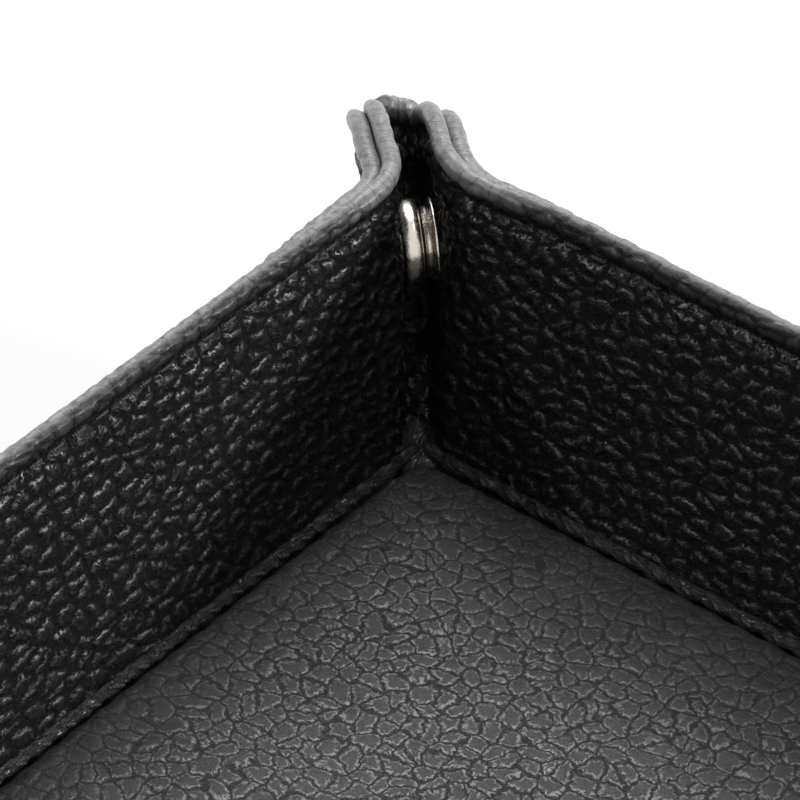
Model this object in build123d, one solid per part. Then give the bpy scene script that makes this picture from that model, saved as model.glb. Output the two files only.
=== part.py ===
"""Square leather valet tray whose corners are pinched into ears by press studs.

The origin is the centre of the tray on the surface that it rests on, +Z up, +Y to the back.
Opened at its four press studs the tray unfolds into one flat sheet.
"""
import os
from math import acos, atan, cos, pi, radians, sin, sqrt, tan

from build123d import *

# Tray outline, in millimetres and degrees
floor_width = 180.0
border_height = 43.0
wall_lean = 10.0
ear_corner_radius = 22.0

# Leather, boards and padding
leather = 1.2
wall_board_thickness = 2.0
base_board_thickness = 2.0
foam_thickness = 1.8
floor_crown = 1.2
floor_edge_rounding = 1.6
hem_depth_share = 0.186
board_setback = 4.0
bead_round_share = 0.48

# Folds
fold_clearance = 0.3
open_pivot_room = 1.7
open_pivot_wedge = 1.2
ear_foot = 1.5

# Stitching
stitch_width = 0.8
stitch_height = 0.45
rim_stitch_pitch = 4.2
rim_stitch_length = 3.0
rim_seam_depth = 4.2
rim_seam_end = 6.0
crease_stitch_pitch = 4.8
crease_stitch_length = 3.4
crease_seam_inset = 1.1

# Press studs
snap_below_hem_share = 0.276
snap_from_fold_share = 0.2094
snap_diameter = 12.4
cap_height = 1.6
socket_height = 2.9
socket_floor = 0.6
socket_rounding = 0.9
head_diameter = 5.2
head_play = 0.35
head_reach = 2.2
head_neck_step = 0.3
stud_flange = 0.8
stud_step_height = 1.3
stud_step_inset = 1.3
snap_face_gap = 0.4
ring_wire = 0.5
ring_seat_play = 0.06
ring_mouth_depth = 1.1
ring_gap_angle = 34.0
post_diameter = 3.0
post_flare = 0.5
post_flare_height = 0.25
back_cap_diameter = 10.4
back_cap_height = 1.1
cap_lip = 0.5

# Overrun of every cutting body
overrun = 40.0

# Shape of the corner, from the lean of the walls
lean = radians(wall_lean)
corner_spread = atan(sin(lean))
corner_tilt = atan(sqrt(2) * tan(lean))
ear_bend = acos(cos(lean) / sqrt(2))
half_bend = ear_bend / 2
fold_tilt = corner_tilt + pi / 4 - corner_spread
wall_swing = 90.0 - wall_lean
hem_depth = hem_depth_share * border_height

# Layers, measured from the middle of the leather and board sandwich
hem_half = leather + wall_board_thickness / 2
hinge_height = hem_half
crease_reach = hinge_height + fold_clearance
bead_rounding = bead_round_share * hem_half
half_floor = floor_width / 2
stud_base_height = stud_flange + stud_step_height
leaf_gap = socket_height + snap_face_gap + stud_base_height
leaf_offset = leather + leaf_gap / 2
bend_start = half_floor - sqrt(2) * leaf_offset
unbend_shift = leaf_offset / sin(ear_bend) - leaf_offset * cos(corner_tilt)
fold_half_arc = pi / 2 * leaf_offset
fold_inset = fold_half_arc - unbend_shift * cos(pi / 4 - corner_spread)
fold_axis_offset = fold_half_arc - fold_inset
fold_line_gap = sqrt(2) * fold_half_arc

WALLS = ["right", "back", "left", "front"]
CORNERS = {"right": "front_right", "back": "back_right", "left": "back_left", "front": "front_left"}

wall_plane = Plane(
    origin=(half_floor, 0, hinge_height),
    x_dir=(0, -1, 0),
    z_dir=(-cos(lean), 0, sin(lean)),
)
corner_plane = Plane(
    origin=(half_floor, -half_floor, hinge_height),
    x_dir=(1, -1, 0),
    z_dir=(-1, -1, 0),
)


def turned(shape, quarter):
    """The shape of the right-hand side, turned to one of the four sides."""
    return Rot(0, 0, 90 * quarter) * shape


def beyond(plane):
    """A block that removes everything on the far side of a plane."""
    size = floor_width + overrun
    return plane * Pos(0, 0, size / 2) * Box(2 * size, 2 * size, size)


def save(node, shape):
    """Write one node, made of one or more closed solids."""
    shape.label = node
    export_step(shape, f"parts/{node}.step")


# Base


def rounded_slab(half_side, bottom, top, crown, rounding):
    """A square pad with rounded upper edges and a slightly domed top."""
    slab = Pos(0, 0, bottom) * Box(
        2 * half_side, 2 * half_side, top - bottom, align=(Align.CENTER, Align.CENTER, Align.MIN)
    )
    upper = slab.edges().group_by(Axis.Z)[-1]
    upright = slab.edges().filter_by(Axis.Z)
    slab = fillet([*upper, *upright], rounding)
    half_diagonal = half_side * sqrt(2)
    dome_radius = (half_diagonal**2 + crown**2) / (2 * crown)
    dome = Pos(0, 0, top - dome_radius) * Sphere(dome_radius)
    return slab & dome


base_board_top = leather + base_board_thickness
floor_half = half_floor - crease_reach
foam_half = floor_half - leather
foam_top = base_board_top + foam_thickness
tongue_top = 2 * leather


def base_outer_leather():
    """The underside sheet, with a half-round roll of leather along each crease."""
    sheet = Box(floor_width, floor_width, leather, align=(Align.CENTER, Align.CENTER, Align.MIN))
    outer_radius = hinge_height
    inner_radius = hinge_height - leather
    ring = Circle(outer_radius) - Circle(inner_radius)
    outside = Rectangle(outer_radius, 2 * outer_radius, align=(Align.MIN, Align.CENTER))
    past_wall = Rot(0, 0, -wall_lean) * Rectangle(
        2 * outer_radius, 2 * outer_radius, align=(Align.MAX, Align.MIN)
    )
    roll_plane = Plane(origin=(half_floor, 0, hinge_height), x_dir=(1, 0, 0), z_dir=(0, -1, 0))
    roll_face = (ring & outside) - past_wall
    roll = extrude(roll_plane * roll_face, amount=floor_half, both=True)
    for side in range(4):
        sheet = sheet + turned(roll, side)
    return sheet


def base_board():
    half = foam_half
    return Pos(0, 0, leather) * Box(
        2 * half, 2 * half, base_board_thickness, align=(Align.CENTER, Align.CENTER, Align.MIN)
    )


def base_foam():
    return rounded_slab(foam_half, base_board_top, foam_top, floor_crown, floor_edge_rounding)


def base_lining():
    """The padded floor: its edge turns down to the crease, where it is sewn to the outer sheet."""
    top = foam_top + leather
    pad = rounded_slab(floor_half, leather, top, floor_crown, floor_edge_rounding + leather)
    seam = Pos(0, 0, leather) * Box(
        floor_width, floor_width, leather, align=(Align.CENTER, Align.CENTER, Align.MIN)
    )
    return pad + seam - base_board() - base_foam()


def stitch(length):
    """One half-round stitch along X that lies on the XY plane."""
    section = Plane.YZ * (
        Ellipse(stitch_width / 2, stitch_height)
        & Rectangle(stitch_width, stitch_height, align=(Align.CENTER, Align.MIN))
    )
    return extrude(section, amount=length / 2, both=True)


def stitch_row(run, pitch, length):
    """A row of stitches along X, centred on the origin."""
    count = int(run // pitch)
    first = -(count - 1) * pitch / 2
    one = stitch(length)
    return [Pos(first + i * pitch, 0, 0) * one for i in range(count)]


def crease_thread():
    seam_line = half_floor - crease_seam_inset
    run = 2 * (floor_half - board_setback)
    row = stitch_row(run, crease_stitch_pitch, crease_stitch_length)
    stitches = []
    for side in range(4):
        place = Pos(seam_line, 0, tongue_top) * Rot(0, 0, 90)
        stitches += [turned(place * one, side) for one in row]
    return Compound(children=stitches)


# Walls


def wall_end(side, spread, tilt):
    """Plane that ends a wall panel at its bend line, leaning by tilt to clear the fold."""
    along = Vector(side * sin(spread), cos(spread), 0)
    outward = Vector(side * cos(spread), -sin(spread), 0)
    normal = outward * cos(tilt) - Vector(0, 0, 1) * sin(tilt)
    foot = Vector(side * bend_start, 0, 0) - normal * (fold_clearance / 2)
    return Plane(origin=foot, x_dir=along, z_dir=normal)


def cut_to_bends(panel, tilt, setback):
    """Trim both ends of a wall panel; the stud end has the room of the opened pivot."""
    open_spread = corner_spread - radians(open_pivot_wedge)
    ear_end = wall_end(1, corner_spread, tilt)
    open_end = wall_end(-1, open_spread, tilt)
    panel = panel - beyond(ear_end.offset(-setback))
    return panel - beyond(open_end.offset(-setback - open_pivot_room))


def wall_leather(side):
    """Lining (side 1) or outer sheet (side -1), with its turned edge as a bead at the rim."""
    board_half = wall_board_thickness / 2
    bead = hem_half / 2
    outline = Polyline(
        (border_height - bead, side * hem_half),
        (crease_reach, side * hem_half),
        (crease_reach, side * board_half),
        (border_height - hem_depth, side * board_half),
        (border_height - hem_depth, 0),
        (border_height - bead, 0),
    )
    crest = ThreePointArc(
        (border_height - bead, 0),
        (border_height, side * bead),
        (border_height - bead, side * hem_half),
    )
    section = make_face(Plane.YZ * (outline + crest))
    panel = extrude(section, amount=half_floor + border_height, both=True)
    tilt = half_bend if side < 0 else 0
    return cut_to_bends(panel, tilt, 0)


def wall_board():
    height = border_height - hem_depth - crease_reach
    panel = Pos(0, crease_reach + height / 2, 0) * Box(
        floor_width + 2 * border_height, height, wall_board_thickness
    )
    return cut_to_bends(panel, 0, board_setback)


def rim_thread():
    run = 2 * (bend_start - rim_seam_end)
    row = stitch_row(run, rim_stitch_pitch, rim_stitch_length)
    place = Pos(0, border_height - rim_seam_depth, hem_half)
    return Compound(children=[place * one for one in row])


# Ears, in the plane of the diagonal: X out of the corner, Y up, Z towards the stud half


def on_ear(beside, above):
    """Where a point of the flat sheet lies on the ear, from its places beside and above the corner."""
    across = beside * cos(corner_spread) - above * sin(corner_spread) + unbend_shift
    along = beside * sin(corner_spread) + above * cos(corner_spread)
    x = across * cos(corner_tilt) + along * sin(corner_tilt)
    y = -across * sin(corner_tilt) + along * cos(corner_tilt)
    return (x, y)


# The press stud sits in the room between the hem, the bend and the start of the fold
room_foot = (fold_line_gap - sqrt(2) * leaf_offset) / (1 - tan(corner_spread))
room_height = border_height - hem_depth - room_foot
snap_above = border_height - hem_depth - snap_below_hem_share * room_height
snap_beside = snap_above - fold_line_gap - sqrt(2) * snap_from_fold_share * room_height
snap_out, snap_up = on_ear(snap_beside, snap_above)


def along_fold(point):
    return point[0] * sin(fold_tilt) + point[1] * cos(fold_tilt)


def ear_outline(border, rounding):
    """The flat half of an ear, from its bend line to the start of the fold."""
    centre_above = border - rounding
    centre_beside = centre_above - fold_line_gap
    bend_foot = -sqrt(2) * leaf_offset
    rim_at_bend = on_ear(bend_foot + border * tan(corner_spread), border)
    arc_start = on_ear(centre_beside, border)
    arc_middle = on_ear(
        centre_beside + rounding * sin(pi / 8), centre_above + rounding * cos(pi / 8)
    )
    arc_end = on_ear(
        centre_beside + rounding * sin(pi / 4), centre_above + rounding * cos(pi / 4)
    )
    return rim_at_bend, arc_start, arc_middle, arc_end


def fold_point(along, outside):
    """A point of the fold, along it from the crease corner and beside its centre line."""
    return (
        along * sin(fold_tilt) + (outside - fold_inset) * cos(fold_tilt),
        along * cos(fold_tilt) - (outside - fold_inset) * sin(fold_tilt),
    )


def ear_face(border, rounding, foot_points):
    rim_at_bend, arc_start, arc_middle, arc_end = ear_outline(border, rounding)
    straight = Polyline(*foot_points(arc_end), rim_at_bend, arc_start)
    return make_face(straight + ThreePointArc(arc_start, arc_middle, arc_end))


def leaf_foot(arc_end):
    bend_run = (ear_foot + leaf_offset * sin(fold_tilt)) / cos(fold_tilt - corner_tilt)
    bend_point = (
        -leaf_offset + bend_run * sin(corner_tilt),
        bend_run * cos(corner_tilt),
    )
    return [arc_end, fold_point(ear_foot, 0), bend_point]


def fold_quarter(inner, outer, start, end):
    """Quarter of the turn at the fold, from the socket half to the middle of the turn."""
    ring = Circle(outer) - Circle(inner)
    quarter = Rectangle(outer, outer, align=(Align.MIN, Align.MIN))
    plane = Plane(
        origin=(*fold_point(start, 0), 0),
        x_dir=(cos(fold_tilt), -sin(fold_tilt), 0),
        z_dir=(sin(fold_tilt), cos(fold_tilt), 0),
    )
    return extrude(plane * (ring & quarter), amount=end - start)


def ear_bend_plane(tilt):
    along = Vector(sin(corner_tilt), cos(corner_tilt), 0)
    back = Vector(-cos(corner_tilt), sin(corner_tilt), 0)
    normal = back * cos(tilt) - Vector(0, 0, 1) * sin(tilt)
    foot = Vector(-leaf_offset, 0, -leaf_offset) - normal * (fold_clearance / 2)
    return Plane(origin=foot, x_dir=along, z_dir=normal)


def ear_hem(side):
    """The doubled band along the rim of an ear, flat and round the fold."""
    inner_border = border_height - hem_depth
    inner_radius = ear_corner_radius - hem_depth
    far = -leaf_offset + side * hem_half
    rim_at_bend, arc_start, arc_middle, arc_end = ear_outline(border_height, ear_corner_radius)
    band = ear_face(border_height, ear_corner_radius, leaf_foot)
    band = band - ear_face(inner_border, inner_radius, leaf_foot)
    flat = extrude(Pos(0, 0, -leaf_offset) * band, amount=side * hem_half)
    rim_line = Vector(*arc_start) - Vector(*rim_at_bend)

    def on_rim(edge):
        middle = edge @ 0.5
        flat_middle = Vector(middle.X, middle.Y)
        if edge.geom_type == GeomType.CIRCLE:
            return (flat_middle - Vector(*arc_middle)).length < leather
        straight = flat_middle - Vector(*rim_at_bend) - rim_line / 2
        return straight.length < leather and abs((edge % 0.5).Z) < 0.5

    flat = fillet(flat.edges().filter_by(on_rim), bead_rounding)
    tip = along_fold(arc_end)
    hem_start = along_fold(ear_outline(inner_border, inner_radius)[3])
    turn = fold_quarter(*sorted([-far, leaf_offset]), hem_start, tip)
    fold_direction = Vector(sin(fold_tilt), cos(fold_tilt), 0)

    def at_tip(edge):
        middle = edge @ 0.5
        return edge.geom_type == GeomType.CIRCLE and middle.dot(fold_direction) > tip - leather / 2

    return flat + fillet(turn.edges().filter_by(at_tip), bead_rounding)


def ear_leather(side):
    """Lining (side 1) or outer sheet (side -1) of the socket half of an ear."""
    sheet_border = border_height - hem_depth / 2
    sheet_radius = ear_corner_radius - hem_depth / 2
    leaf = ear_face(sheet_border, sheet_radius, leaf_foot)
    far = -leaf_offset + side * leather
    sheet = extrude(Pos(0, 0, -leaf_offset) * leaf, amount=side * leather)
    end = along_fold(ear_outline(sheet_border, sheet_radius)[3])
    turn = fold_quarter(*sorted([-far, leaf_offset]), ear_foot, end)
    piece = sheet + turn + ear_hem(side)
    tilt = half_bend if side < 0 else 0
    piece = piece - beyond(ear_bend_plane(tilt))
    hole = Pos(snap_out, snap_up, -leaf_offset) * Cylinder(post_diameter / 2, 4 * leather)
    return piece - hole


# Press studs, turned about the line through both halves; Z runs from the socket to the stud


def turned_about_snap(points):
    """A turned part from its outline, given as radius and height in the ear's frame."""
    face = make_face(Plane.XZ * Polyline(*points, close=True))
    return Pos(snap_out, snap_up, 0) * revolve(face, Axis.Z)


leaf_face = leaf_gap / 2
head_radius = head_diameter / 2
bore_radius = head_radius + head_play
snap_radius = snap_diameter / 2
post_radius = post_diameter / 2
socket_mouth = -leaf_face + socket_height
socket_floor_top = -leaf_face + socket_floor
stud_face = leaf_face - stud_base_height
ring_groove_reach = bore_radius + ring_wire + 2 * ring_seat_play
ring_groove_low = socket_mouth - ring_mouth_depth - ring_wire / 2 - ring_seat_play
ring_groove_high = socket_mouth - ring_mouth_depth + ring_wire / 2 + ring_seat_play


def snap_socket():
    rounding = socket_rounding
    outline = [
        (post_radius, -leaf_face),
        (snap_radius - rounding, -leaf_face),
        (snap_radius, -leaf_face + rounding),
        (snap_radius, socket_mouth - rounding),
        (snap_radius - rounding, socket_mouth),
        (bore_radius, socket_mouth),
        (bore_radius, ring_groove_high),
        (ring_groove_reach, ring_groove_high),
        (ring_groove_reach, ring_groove_low),
        (bore_radius, ring_groove_low),
        (bore_radius, socket_floor_top),
        (post_radius, socket_floor_top),
    ]
    return turned_about_snap(outline)


def snap_ring():
    """Split wire ring that grips the stud's head, in its groove in the socket."""
    middle = bore_radius + ring_wire / 2 + ring_seat_play
    section = Plane.XZ * Pos(middle, 0, 0) * Circle(ring_wire / 2)
    wire = revolve(section, Axis.Z, 360 - ring_gap_angle)
    height = socket_mouth - ring_mouth_depth
    return Pos(snap_out, snap_up, height) * wire


def snap_cap():
    """Domed cap outside the ear; its post is riveted over inside the socket."""
    seat = -leaf_offset - leather
    flare = post_radius + post_flare
    outer = [
        (0, seat - cap_height),
        (snap_radius / 2, seat - cap_height + cap_lip / 2),
        (snap_radius - cap_lip, seat - cap_height / 2),
        (snap_radius, seat - cap_lip),
        (snap_radius, seat),
        (post_radius, seat),
        (post_radius, socket_floor_top),
        (flare, socket_floor_top),
        (flare, socket_floor_top + post_flare_height),
        (0, socket_floor_top + post_flare_height),
    ]
    return turned_about_snap(outer)


def snap_stud():
    step_radius = snap_radius - stud_step_inset
    tip = stud_face - head_reach
    neck = head_radius - head_neck_step
    outline = [
        (post_radius, leaf_face),
        (snap_radius, leaf_face),
        (snap_radius, leaf_face - stud_flange),
        (step_radius, leaf_face - stud_flange),
        (step_radius, stud_face + head_neck_step),
        (step_radius - head_neck_step, stud_face),
        (neck, stud_face),
        (neck, stud_face - head_reach / 3),
        (head_radius, stud_face - head_reach / 2),
        (head_radius, tip + head_reach / 4),
        (neck, tip),
        (post_radius + post_flare, tip),
        (post_radius + post_flare, stud_face),
        (post_radius, stud_face),
    ]
    return turned_about_snap(outline)


def snap_post():
    """Back cap outside the ear, with the post that is riveted over inside the stud."""
    seat = leaf_offset + leather
    flare = post_radius + post_flare
    radius = back_cap_diameter / 2
    outline = [
        (0, seat + back_cap_height),
        (radius - cap_lip, seat + back_cap_height),
        (radius, seat + back_cap_height - cap_lip),
        (radius, seat),
        (post_radius, seat),
        (post_radius, stud_face),
        (flare, stud_face),
        (flare, stud_face - post_flare_height),
        (0, stud_face - post_flare_height),
    ]
    return turned_about_snap(outline)


def stud_half(shape):
    """The matching piece of the stud half: the mirror image across the diagonal."""
    return mirror(shape, about=Plane.XY)


os.makedirs("parts", exist_ok=True)

save("base_outer_leather", base_outer_leather())
save("base_board", base_board())
save("base_foam", base_foam())
save("base_lining_leather", base_lining())
save("crease_thread", crease_thread())

wall_pieces = {
    "outer_leather": wall_leather(-1),
    "board": wall_board(),
    "lining_leather": wall_leather(1),
    "rim_thread": rim_thread(),
}
socket_leathers = {"outer_leather": ear_leather(-1), "lining_leather": ear_leather(1)}
ear_pieces = {f"socket_ear_{kind}": piece for kind, piece in socket_leathers.items()}
ear_pieces |= {f"stud_ear_{kind}": stud_half(piece) for kind, piece in socket_leathers.items()}
ear_pieces |= {
    "snap_cap": snap_cap(),
    "snap_socket": snap_socket(),
    "snap_ring": snap_ring(),
    "snap_stud": snap_stud(),
    "snap_post": snap_post(),
}
for quarter, wall in enumerate(WALLS):
    for kind, piece in wall_pieces.items():
        save(f"{wall}_wall_{kind}", turned(wall_plane * piece, quarter))
    for kind, piece in ear_pieces.items():
        save(f"{CORNERS[wall]}_{kind}", turned(corner_plane * piece, quarter))
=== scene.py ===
"""Looks of a square leather valet tray with snap corners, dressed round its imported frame.

The leather is one flat sheet that is bent up at the creases, so every leather piece is
worked out from its place on that flat sheet: beside and above the corner of the floor.
Lengths are millimetres until they become mesh, which is in metres.
"""
from math import acos, atan, atan2, cos, pi, radians, sin, sqrt, tan

import bmesh
import bpy
import numpy as np
from mathutils import Matrix, Vector


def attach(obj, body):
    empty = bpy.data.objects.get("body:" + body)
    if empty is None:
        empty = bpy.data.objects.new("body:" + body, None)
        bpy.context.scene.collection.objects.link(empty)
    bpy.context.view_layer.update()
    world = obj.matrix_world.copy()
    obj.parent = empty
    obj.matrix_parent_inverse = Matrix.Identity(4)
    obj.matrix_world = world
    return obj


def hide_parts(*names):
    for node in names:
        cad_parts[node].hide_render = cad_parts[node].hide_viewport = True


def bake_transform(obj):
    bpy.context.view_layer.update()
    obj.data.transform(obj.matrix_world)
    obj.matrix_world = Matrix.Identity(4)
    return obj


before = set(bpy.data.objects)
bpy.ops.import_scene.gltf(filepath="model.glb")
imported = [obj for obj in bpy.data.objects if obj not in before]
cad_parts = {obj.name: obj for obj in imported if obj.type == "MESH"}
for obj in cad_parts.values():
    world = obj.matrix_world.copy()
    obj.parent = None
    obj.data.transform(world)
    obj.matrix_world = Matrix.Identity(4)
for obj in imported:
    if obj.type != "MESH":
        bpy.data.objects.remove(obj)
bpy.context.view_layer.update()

MM = 0.001

# Tray, as in the frame
HALF_FLOOR = 90.0
BORDER = 43.0
LEAN = radians(10.0)
HINGE_HEIGHT = 2.2
HEM_HALF = 2.2
BOARD_HALF = 1.0
LEATHER = 1.2
LEAF_OFFSET = 3.9
EAR_RADIUS = 22.0
HEM_DEPTH = 8.0
BEAD = 1.1
SEAM_DEPTH = 4.2
STITCH_PITCH = 4.2
CREASE_PITCH = 4.8
PAD_TOP = 6.2
PAD_CROWN = 1.2
SNAP_OUT = 11.98
SNAP_UP = 25.31
LAYER_GAP = 0.03

# Shape of the corner
SPREAD = atan(sin(LEAN))
TILT = atan(sqrt(2) * tan(LEAN))
BEND = acos(cos(LEAN) / sqrt(2))
FOLD = TILT + pi / 4 - SPREAD
BEND_RADIUS = 4.0
FOOT_BEND = 3.4
SOCKET_RIM_BEND, STUD_RIM_BEND = 11.0, 14.0
BEND_RUN = BEND_RADIUS * tan(BEND / 2)
BEND_FOOT = sqrt(2) * LEAF_OFFSET
HALF_ARC = pi / 2 * LEAF_OFFSET
UNBEND = LEAF_OFFSET / sin(BEND) - LEAF_OFFSET * cos(TILT)
FOLD_INSET = HALF_ARC - UNBEND * cos(pi / 4 - SPREAD)
FOLD_SHIFT = UNBEND * sin(pi / 4 - SPREAD)
ROLL = HEM_HALF * (pi / 2 - LEAN)
ROLL_UNDER = 5.0
EAR_ABOVE = BORDER - EAR_RADIUS
EAR_BESIDE = EAR_ABOVE - sqrt(2) * HALF_ARC
LEAF_RUN = 31.0
FOLD_WIDTH = 14.0
FOLD_LENGTH = 48.0

# How the ear springs open above its press stud, on each leaf, and arches at its fold
EAR_SPRING = 2.0
SOCKET_OPEN, STUD_OPEN = 1.0, 0.1
FOLD_LIFT = 4.1

# The lining's turned edge stands a little proud; the cover's lies lower, most along the walls
LINING_RISE = 0.9
COVER_DROP = 0.2
COVER_SAG = 1.4
EAR_DIP, COVER_EAR_DIP = 0.85, 1.05
STUD_EAR_DIP = 0.9
WALL_RISE = (0.0, 0.9, 0.0, 0.9)

# Turned edge, band behind it and seam, by depth below the rim
BEAD_PUFF = 1.17
BEAD_WAVE = 0.07
BAND_START, BAND_END = 1.6, 3.0
GROOVE, GROOVE_DEPTH, GROOVE_WIDTH = 0.7, 4.0, 0.95
NOTCH, NOTCH_WIDTH = 0.22, 1.6
CREASE_PUCKER = 0.3

# Grain: size of a pebble, how far it wanders and how steep its flanks are
WALL_GRAIN = (4.1, 1.1, 0.36)
FLOOR_GRAIN = (2.9, 1.2, 0.26)
GRAIN_STRETCH = 1.6
RELIEF = 0.42
FLOOR_RELIEF = 0.16

# Floor, welts and the gathers at its corners
PAD_HALF = 87.2
PAD_ROUND = 2.6
PAD_STEP = 0.57
RIDGE_X, RIDGE_Z, RIDGE_RADIUS = 88.0, 4.35, 0.95
# Outwards, along the pinch and upwards, from the corner of the floor
TUCK_SIZE = (4.2, 5.4, 2.3)
TUCK_PLACE = (-2.4, 0, 0.3)
TUCK_PEAK = 2.8

# Stitches
RIM_STITCH, CREASE_STITCH = 3.1, 2.6
STITCH_SINK = 0.75
CREASE_SEAM_HALF = 80.0

# The two inner halves of a press stud lean and sit a little towards the stud leaf
SNAP_LEAN = radians(-6)
SNAP_SHIFT = {"cap": 0.0, "socket": 0.7, "stud": 0.4, "post": 0.0}
LEAF_FACE = LEAF_OFFSET - LEATHER
SEAT = LEAF_OFFSET + LEATHER
SNAP_ROUNDING = 0.25
SNAP_SEGMENTS = 72

WALLS = ["right", "back", "left", "front"]
CORNERS = ["front_right", "back_right", "back_left", "front_left"]

WALL_ORIGIN = np.array([HALF_FLOOR, 0, HINGE_HEIGHT])
WALL_X = np.array([0, -1.0, 0])
WALL_Y = np.array([sin(LEAN), 0, cos(LEAN)])
WALL_Z = np.array([-cos(LEAN), 0, sin(LEAN)])
CORNER = np.array([HALF_FLOOR, -HALF_FLOOR, HINGE_HEIGHT])
CORNER_X = np.array([1, -1, 0]) / sqrt(2)
CORNER_Y = np.array([0, 0, 1.0])
CORNER_Z = np.array([-1, -1, 0]) / sqrt(2)
TO_EAR = WALL_X * cos(SPREAD) - WALL_Y * sin(SPREAD)
ON_EAR = TO_EAR * cos(BEND) - WALL_Z * sin(BEND)
BEND_LINE = WALL_X * sin(SPREAD) + WALL_Y * cos(SPREAD)
FOLD_LINE = CORNER_X * sin(FOLD) + CORNER_Y * cos(FOLD)
FOLD_OUT = CORNER_X * cos(FOLD) - CORNER_Y * sin(FOLD)


def smooth(value, low, high):
    """0 below low, 1 above high, and eased between them."""
    t = np.clip((value - low) / (high - low), 0, 1)
    return t * t * (3 - 2 * t)


def hump(value, middle, width):
    """1 at its middle, fading to 0 on both sides."""
    return np.exp(-(((value - middle) / width) ** 2))


def stitch_beat(along, pitch):
    """From 0 to 1 and back once for each stitch."""
    return 0.5 - 0.5 * np.cos(2 * pi * along / pitch)


def quarter_turn(points, quarter):
    """Points of the right-hand side or its flat sheet, turned to another side."""
    turned = np.array(points, float)
    for _ in range(quarter):
        turned[..., 0], turned[..., 1] = -turned[..., 1].copy(), turned[..., 0].copy()
    return turned


# Where a point of the flat sheet lies


def bent_point(beside, above, height, rim_bend):
    """On the wall, round the bend or on the flat of the ear; height is towards the lining."""
    across = beside + BEND_FOOT
    past = across * cos(SPREAD) - above * sin(SPREAD)
    along = across * sin(SPREAD) + above * cos(SPREAD)
    start = WALL_ORIGIN + (HALF_FLOOR - BEND_FOOT) * WALL_X
    bend = FOOT_BEND + (rim_bend - FOOT_BEND) * smooth(along, 6.0, BORDER)
    run = bend * tan(BEND / 2)
    turn = np.clip((past + run) / (2 * run), 0, 1) * BEND
    radius = bend + height
    return (
        start
        + along[..., None] * BEND_LINE
        + (radius * np.sin(turn) - run + np.minimum(past + run, 0))[..., None] * TO_EAR
        + (radius * np.cos(turn) - bend)[..., None] * WALL_Z
        + np.maximum(past - run, 0)[..., None] * ON_EAR
    )


def past_bend(beside, above):
    """How far a place is past the middle of the bend from wall to ear."""
    return (beside + BEND_FOOT) * cos(SPREAD) - above * sin(SPREAD)


def rim_shift(side, quarter, from_corner):
    """How far the rim of a layer stands above the wall's own height."""
    inner = smooth(from_corner, 2.0, 18.0)
    rise = LINING_RISE if side > 0 else -COVER_DROP
    sag = 0.0 if side > 0 else COVER_SAG
    return rise + WALL_RISE[quarter] * inner - sag * smooth(from_corner, 6.0, 34.0)


def ear_shift(side, run, stud=0.0):
    """The same on an ear, whose tip dips; stud is 0 on the socket leaf and 1 on the stud leaf."""
    rise, dip = (LINING_RISE, EAR_DIP) if side > 0 else (-COVER_DROP, COVER_EAR_DIP)
    return rise - (dip + STUD_EAR_DIP * stud) * smooth(run, 8.0, 28.0)


def shift_fade(depth):
    """The shift of the rim dies out down the wall."""
    return 1 - smooth(depth, HEM_DEPTH, 30.0)


def over_bead(depth, kind, turn):
    """How far the sheet goes on past the rim as it turns over the bead."""
    return np.where(kind == 1, BEAD_PUFF * BEAD * (pi / 2 - turn) - (BEAD - depth), 0)


def opening(near, far, up):
    """How far the pinch stands open above its press stud, from the wall to the tip of the ear."""
    over_snap = smooth(up, SNAP_UP + 1, BORDER - 2)
    return EAR_SPRING * over_snap * smooth(past_bend(near, far), -9.0, 7.0)


def ear_point(beside, above, height):
    """On an ear that has sprung open above its press stud and arches at the fold."""
    middle = pinched_point(beside, above, np.zeros(np.shape(beside))) - CORNER
    up, aside = middle @ CORNER_Y, middle @ CORNER_Z
    share = np.clip(aside / LEAF_OFFSET, -1, 1)
    apart = opening(np.minimum(beside, above), np.maximum(beside, above), up)
    apart = apart * (SOCKET_OPEN + (STUD_OPEN - SOCKET_OPEN) * (1 + share) / 2)
    lift = FOLD_LIFT * (1 - share**4) * smooth(up, 22.0, 38.0)
    sprung = (apart * share)[..., None] * CORNER_Z + lift[..., None] * CORNER_Y
    return pinched_point(beside, above, height) + sprung


def pinched_point(beside, above, height):
    """Anywhere on an ear: the bend, both leaves and the turn at the fold between them."""
    other = beside > above
    near, far = np.minimum(beside, above), np.maximum(beside, above)
    flat = bent_point(near, far, height, np.where(other, STUD_RIM_BEND, SOCKET_RIM_BEND))
    run = (near - far) / sqrt(2) + HALF_ARC
    along = (near + far) / sqrt(2) + FOLD_SHIFT
    angle = run / LEAF_OFFSET
    radius = LEAF_OFFSET - height
    turned = (
        CORNER
        + along[..., None] * FOLD_LINE
        + (radius * np.sin(angle) - FOLD_INSET)[..., None] * FOLD_OUT
        - (radius * np.cos(angle))[..., None] * CORNER_Z
    )
    point = np.where((run > 0)[..., None], turned, flat)
    mirrored = np.stack([-point[..., 1], -point[..., 0], point[..., 2]], axis=-1)
    return np.where(other[..., None], mirrored, point)


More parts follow.
